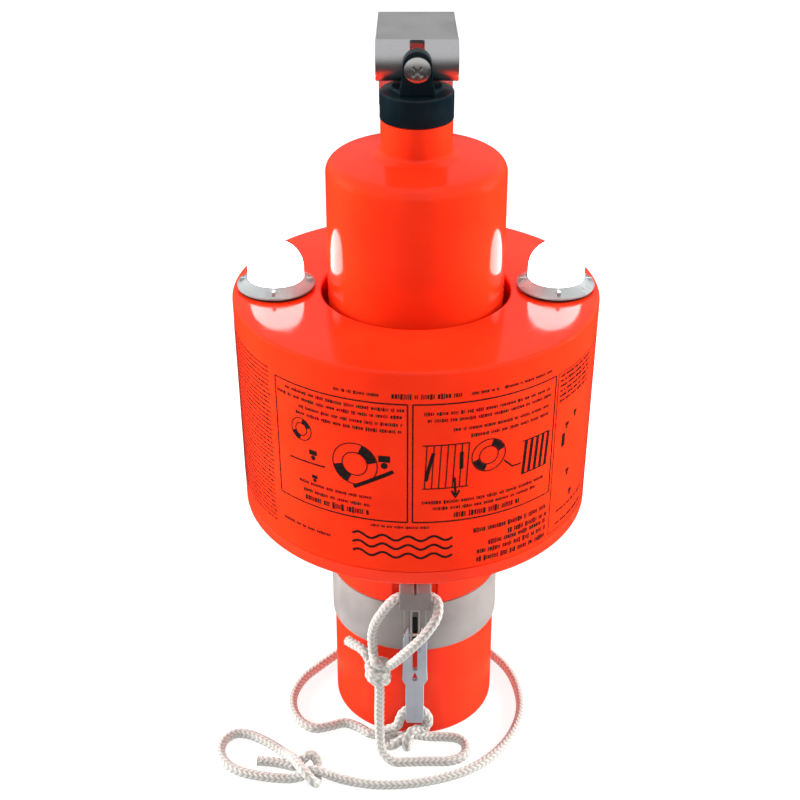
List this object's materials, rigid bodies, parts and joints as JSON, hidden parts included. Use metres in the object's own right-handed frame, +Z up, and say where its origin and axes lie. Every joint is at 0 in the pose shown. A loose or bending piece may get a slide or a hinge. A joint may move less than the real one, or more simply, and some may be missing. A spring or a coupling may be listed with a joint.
{
  "type": "man-overboard light and smoke signal",
  "caption": "Floating man-overboard marker: a smoke canister through a ring float with lamps, a battery base, a release lever with lanyard and a pull-off cap on a hanger plate.",
  "frame": {"origin": "centre of the round flat face the base cup stands on", "axes": "+Z up the canister axis from base to hanger plate, -Y towards the release lever, +X to the right as seen from the lever side"},
  "size_m": [0.2185, 0.2, 0.414],
  "materials": {
    "orange_plastic": "glossy moulded",
    "tinplate": "plain rolled",
    "smoke_compound": "pressed powder",
    "brass": "plain",
    "foam": "closed-cell",
    "lens": "translucent",
    "black_rubber": "moulded",
    "grey_plastic": "moulded",
    "circuit_board": "lacquered",
    "diode": "clear potted",
    "wire_sleeve": "extruded",
    "cell_jacket": "shrink sleeve",
    "black_plastic": "fine satin",
    "stainless_steel": "satin",
    "lever_plastic": "moulded satin",
    "rope": "braided"
  },
  "bodies": {
    "signal": {"smoke_canister": "orange_plastic", "smoke_tin": "tinplate", "smoke_tin_lid": "tinplate", "smoke_charge_1": "smoke_compound", "smoke_charge_2": "smoke_compound", "smoke_charge_3": "smoke_compound", "igniter_tube": "brass", "delay_column": "smoke_compound", "outlet_grid": "tinplate", "bulkhead": "tinplate", "float_shell": "orange_plastic", "float_underside": "orange_plastic", "float_foam": "foam", "lamp_lens_left": "lens", "lamp_gasket_left": "black_rubber", "lamp_locknut_left": "grey_plastic", "lamp_board_left": "circuit_board", "lamp_diode_left": "diode", "lamp_lead_left": "wire_sleeve", "lamp_lens_right": "lens", "lamp_gasket_right": "black_rubber", "lamp_locknut_right": "grey_plastic", "lamp_board_right": "circuit_board", "lamp_diode_right": "diode", "lamp_lead_right": "wire_sleeve", "base_cup": "orange_plastic", "joint_o_ring": "black_rubber", "ballast_disc": "tinplate", "cell_carrier": "grey_plastic", "contact_plate_lower": "brass", "contact_plate_upper": "brass", "battery_cell_1": "cell_jacket", "battery_cell_2": "cell_jacket", "battery_cell_3": "cell_jacket", "battery_cell_4": "cell_jacket", "driver_board": "circuit_board", "tilt_switch_tube": "tinplate", "tilt_switch_cap": "black_plastic", "clamp_band": "grey_plastic", "rope_block": "grey_plastic", "lever_housing": "grey_plastic", "lever_pin": "stainless_steel", "lever_spring": "stainless_steel", "lanyard_block_loop": "rope", "lanyard_drop": "rope", "lanyard_lever_loop": "rope", "lanyard_long_run": "rope", "lanyard_end_loop": "rope", "lanyard_knot_upper": "rope", "lanyard_knot_lever": "rope", "lanyard_knot_end": "rope"},
    "cap": {"pull_off_cap": "black_plastic", "cap_seal": "black_rubber", "cap_screw": "stainless_steel", "cap_washer": "stainless_steel", "cap_nut": "stainless_steel", "hanger_plate": "stainless_steel", "striker_wire": "stainless_steel"},
    "lever": {"release_lever": "lever_plastic"},
    "switch_ball": {"tilt_switch_ball": "brass"}
  },
  "joints": [
    {"name": "cap_pull", "type": "slide", "parent": "signal", "child": "cap", "axis": [0, 0, 1], "range_m": [0, 0.02]},
    {"name": "lever_swing", "type": "hinge", "parent": "signal", "child": "lever", "pos_m": [0, -0.0563, 0.0836], "axis": [-1, 0, 0], "range_deg": [0, 20]},
    {"name": "switch_ball_drop", "type": "slide", "parent": "signal", "child": "switch_ball", "axis": [0, 0, 1], "range_m": [0, 0.004]}
  ]
}
